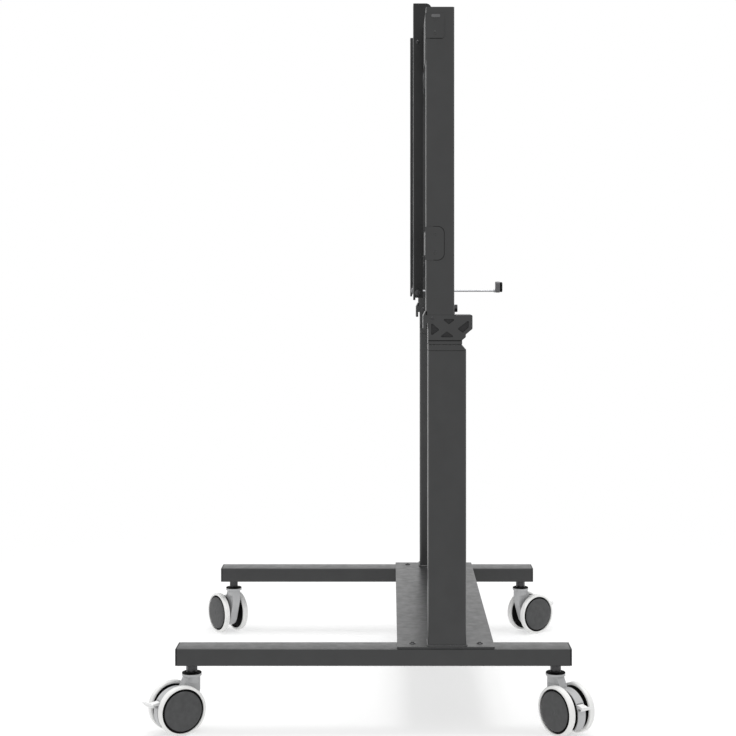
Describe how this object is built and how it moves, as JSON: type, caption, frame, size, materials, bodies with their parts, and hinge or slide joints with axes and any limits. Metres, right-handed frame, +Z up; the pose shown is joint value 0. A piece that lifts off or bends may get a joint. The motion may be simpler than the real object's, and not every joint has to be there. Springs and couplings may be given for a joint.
{
  "type": "display trolley",
  "caption": "Castored display trolley with lifting columns in its posts, cross rails, and hook-on display arms held by a sprung release lever.",
  "frame": {"origin": "on the floor, midway between the legs and halfway along them", "axes": "+Z up, -Y towards the side that carries the display, +X to the right as seen from the front"},
  "size_m": [1.0331, 0.9279, 1.5058],
  "materials": {
    "dark_coat": "satin dark grey powder coat",
    "dark_plastic": "fine-grained black plastic",
    "cap_plastic": "satin dark grey plastic",
    "housing_plastic": "satin light grey plastic",
    "pedal_plastic": "satin white plastic",
    "grip_plastic": "satin mid-grey plastic",
    "tyre_plastic": "soft light grey non-marking tread",
    "bright_steel": "zinc-plated, satin",
    "black_steel": "blackened, semi-gloss"
  },
  "bodies": {
    "base": {"leg_left": "dark_coat", "leg_cap_front_left": "dark_plastic", "leg_cap_rear_left": "dark_plastic", "post_left": "dark_coat", "post_collar_left": "dark_plastic", "leg_right": "dark_coat", "leg_cap_front_right": "dark_plastic", "leg_cap_rear_right": "dark_plastic", "post_right": "dark_coat", "post_collar_right": "dark_plastic", "base_plate": "dark_coat", "caster_front_left_stem": "black_steel", "caster_front_right_stem": "black_steel", "caster_rear_left_stem": "black_steel", "caster_rear_right_stem": "black_steel"},
    "lift": {"inner_column_left": "black_steel", "post_head_left": "dark_coat", "column_left": "dark_coat", "column_bolt_left": "black_steel", "inner_column_right": "black_steel", "post_head_right": "dark_coat", "column_right": "dark_coat", "column_bolt_right": "black_steel", "cross_bar": "dark_coat", "top_rail": "dark_coat", "bottom_rail": "dark_coat"},
    "arm_left": {"display_arm_left": "dark_coat"},
    "arm_right": {"display_arm_right": "dark_coat"},
    "latch": {"latch_shaft": "black_steel", "release_lever": "bright_steel", "release_knob": "grip_plastic"},
    "swivel_front_left": {"caster_front_left_housing": "housing_plastic", "caster_front_left_axle": "bright_steel"},
    "brake_front_left": {"caster_front_left_brake": "pedal_plastic"},
    "wheel_front_left_a": {"caster_front_left_wheel_a": "tyre_plastic", "caster_front_left_cap_a": "cap_plastic"},
    "wheel_front_left_b": {"caster_front_left_wheel_b": "tyre_plastic", "caster_front_left_cap_b": "cap_plastic"},
    "swivel_front_right": {"caster_front_right_housing": "housing_plastic", "caster_front_right_axle": "bright_steel"},
    "brake_front_right": {"caster_front_right_brake": "pedal_plastic"},
    "wheel_front_right_a": {"caster_front_right_wheel_a": "tyre_plastic", "caster_front_right_cap_a": "cap_plastic"},
    "wheel_front_right_b": {"caster_front_right_wheel_b": "tyre_plastic", "caster_front_right_cap_b": "cap_plastic"},
    "swivel_rear_left": {"caster_rear_left_housing": "housing_plastic", "caster_rear_left_axle": "bright_steel"},
    "brake_rear_left": {"caster_rear_left_brake": "pedal_plastic"},
    "wheel_rear_left_a": {"caster_rear_left_wheel_a": "tyre_plastic", "caster_rear_left_cap_a": "cap_plastic"},
    "wheel_rear_left_b": {"caster_rear_left_wheel_b": "tyre_plastic", "caster_rear_left_cap_b": "cap_plastic"},
    "swivel_rear_right": {"caster_rear_right_housing": "housing_plastic", "caster_rear_right_axle": "bright_steel"},
    "brake_rear_right": {"caster_rear_right_brake": "pedal_plastic"},
    "wheel_rear_right_a": {"caster_rear_right_wheel_a": "tyre_plastic", "caster_rear_right_cap_a": "cap_plastic"},
    "wheel_rear_right_b": {"caster_rear_right_wheel_b": "tyre_plastic", "caster_rear_right_cap_b": "cap_plastic"}
  },
  "joints": [
    {"name": "lift_slide", "type": "slide", "parent": "base", "child": "lift", "axis": [0, 0, 1], "range_m": [0, 0.25]},
    {"name": "arm_left_slide", "type": "slide", "parent": "lift", "child": "arm_left", "axis": [1, 0, 0], "range_m": [-0.05, 0.1]},
    {"name": "arm_right_slide", "type": "slide", "parent": "lift", "child": "arm_right", "axis": [-1, 0, 0], "range_m": [-0.05, 0.1]},
    {"name": "release_turn", "type": "hinge", "parent": "lift", "child": "latch", "pos_m": [0, 0.091, 0.888], "axis": [-1, 0, 0], "range_deg": [0, 20], "stiffness_Nm_per_rad": 1.5, "springref_deg": -5.73},
    {"name": "swivel_front_left_turn", "type": "hinge", "parent": "base", "child": "swivel_front_left", "pos_m": [-0.425, -0.37, 0.11], "axis": [0, 0, 1], "continuous": true},
    {"name": "brake_front_left_press", "type": "hinge", "parent": "swivel_front_left", "child": "brake_front_left", "pos_m": [-0.48137, -0.40803, 0.064], "axis": [0.5592, -0.829, 0], "range_deg": [0, 12]},
    {"name": "wheel_front_left_a_spin", "type": "hinge", "parent": "swivel_front_left", "child": "wheel_front_left_a", "pos_m": [-0.45153, -0.38789, 0.05], "axis": [-0.5592, 0.829, 0], "continuous": true},
    {"name": "wheel_front_left_b_spin", "type": "hinge", "parent": "swivel_front_left", "child": "wheel_front_left_b", "pos_m": [-0.45153, -0.38789, 0.05], "axis": [-0.5592, 0.829, 0], "continuous": true},
    {"name": "swivel_front_right_turn", "type": "hinge", "parent": "base", "child": "swivel_front_right", "pos_m": [0.425, -0.37, 0.11], "axis": [0, 0, 1], "continuous": true},
    {"name": "brake_front_right_press", "type": "hinge", "parent": "swivel_front_right", "child": "brake_front_right", "pos_m": [0.459, -0.42889, 0.064], "axis": [0.866, 0.5, 0], "range_deg": [0, 12]},
    {"name": "wheel_front_right_a_spin", "type": "hinge", "parent": "swivel_front_right", "child": "wheel_front_right_a", "pos_m": [0.441, -0.39771, 0.05], "axis": [-0.866, -0.5, 0], "continuous": true},
    {"name": "wheel_front_right_b_spin", "type": "hinge", "parent": "swivel_front_right", "child": "wheel_front_right_b", "pos_m": [0.441, -0.39771, 0.05], "axis": [-0.866, -0.5, 0], "continuous": true},
    {"name": "swivel_rear_left_turn", "type": "hinge", "parent": "base", "child": "swivel_rear_left", "pos_m": [-0.425, 0.37, 0.11], "axis": [0, 0, 1], "continuous": true},
    {"name": "brake_rear_left_press", "type": "hinge", "parent": "swivel_rear_left", "child": "brake_rear_left", "pos_m": [-0.46303, 0.42638, 0.064], "axis": [-0.829, -0.5592, 0], "range_deg": [0, 12]},
    {"name": "wheel_rear_left_a_spin", "type": "hinge", "parent": "swivel_rear_left", "child": "wheel_rear_left_a", "pos_m": [-0.44289, 0.39653, 0.05], "axis": [0.829, 0.5592, 0], "continuous": true},
    {"name": "wheel_rear_left_b_spin", "type": "hinge", "parent": "swivel_rear_left", "child": "wheel_rear_left_b", "pos_m": [-0.44289, 0.39653, 0.05], "axis": [0.829, 0.5592, 0], "continuous": true},
    {"name": "swivel_rear_right_turn", "type": "hinge", "parent": "base", "child": "swivel_rear_right", "pos_m": [0.425, 0.37, 0.11], "axis": [0, 0, 1], "continuous": true},
    {"name": "brake_rear_right_press", "type": "hinge", "parent": "swivel_rear_right", "child": "brake_rear_right", "pos_m": [0.48001, 0.40997, 0.064], "axis": [-0.5878, 0.809, 0], "range_deg": [0, 12]},
    {"name": "wheel_rear_right_a_spin", "type": "hinge", "parent": "swivel_rear_right", "child": "wheel_rear_right_a", "pos_m": [0.45089, 0.38881, 0.05], "axis": [0.5878, -0.809, 0], "continuous": true},
    {"name": "wheel_rear_right_b_spin", "type": "hinge", "parent": "swivel_rear_right", "child": "wheel_rear_right_b", "pos_m": [0.45089, 0.38881, 0.05], "axis": [0.5878, -0.809, 0], "continuous": true}
  ]
}
